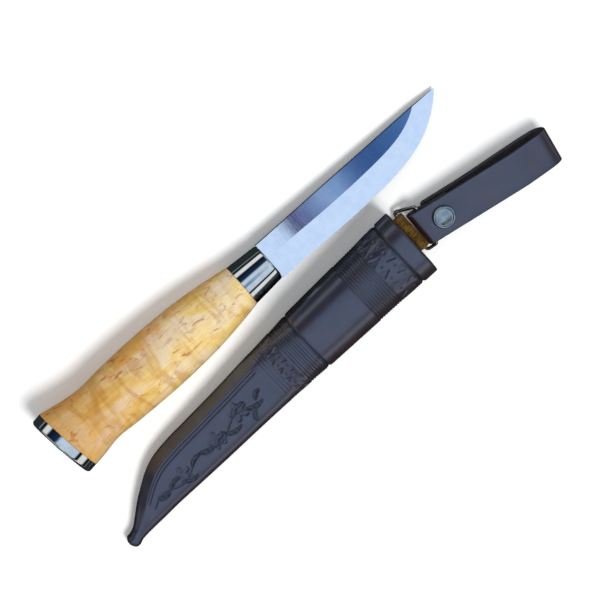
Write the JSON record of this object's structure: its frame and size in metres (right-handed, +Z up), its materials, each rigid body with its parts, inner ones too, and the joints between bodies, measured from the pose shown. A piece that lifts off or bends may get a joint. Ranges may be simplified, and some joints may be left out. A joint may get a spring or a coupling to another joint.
{
  "type": "whittling knife with belt sheath",
  "caption": "Puukko-style whittling knife with a curly birch handle, lying beside its tooled dark leather belt sheath with a press-stud hanging loop.",
  "frame": {"origin": "bottom centre of the knife and sheath together, on the surface they lie on", "axes": "+X along the knife towards its tip, +Y across towards the blade's spine side, away from the sheath, +Z up"},
  "size_m": [0.2592, 0.0752, 0.0298],
  "materials": {
    "steel": "polished",
    "nickel": "mirror polished",
    "nickel_wire": "polished wire",
    "birch": "lacquered curly birch",
    "leather_dark": "satin dark brown",
    "leather_tan": "raw flesh side",
    "liner": "matt black",
    "thread": "waxed thread"
  },
  "bodies": {
    "knife": {"blade": "steel", "bolster": "nickel", "handle": "birch", "butt_cap": "nickel"},
    "sheath": {"sheath_leather": "leather_dark", "blade_liner": "liner", "seam_thread": "thread", "hanger_tab": "leather_tan"},
    "hanger": {"hanger_ring": "nickel_wire"},
    "belt_loop": {"belt_strap": "leather_dark", "snap_cap": "nickel", "snap_socket": "nickel"},
    "loop_flap": {"belt_flap": "leather_dark", "snap_stud": "nickel", "snap_post": "nickel"}
  },
  "joints": [
    {"name": "sheath_lift", "type": "slide", "parent": "knife", "child": "sheath", "axis": [0, 0, 1], "range_m": [0, 0.06]},
    {"name": "hanger_swing", "type": "hinge", "parent": "sheath", "child": "hanger", "pos_m": [0.0555, -0.01158, 0.003], "axis": [0.0384, -0.9993, 0], "range_deg": [-28, 35]},
    {"name": "loop_swing", "type": "hinge", "parent": "hanger", "child": "belt_loop", "pos_m": [0.06236, -0.01331, 0.00811], "axis": [-0.1422, -0.9713, -0.1905], "range_deg": [-50, 35]},
    {"name": "snap_flap", "type": "hinge", "parent": "belt_loop", "child": "loop_flap", "pos_m": [0.12246, -0.02107, 0.00282], "axis": [-0.1422, -0.9713, -0.1905], "range_deg": [0, 45]}
  ]
}
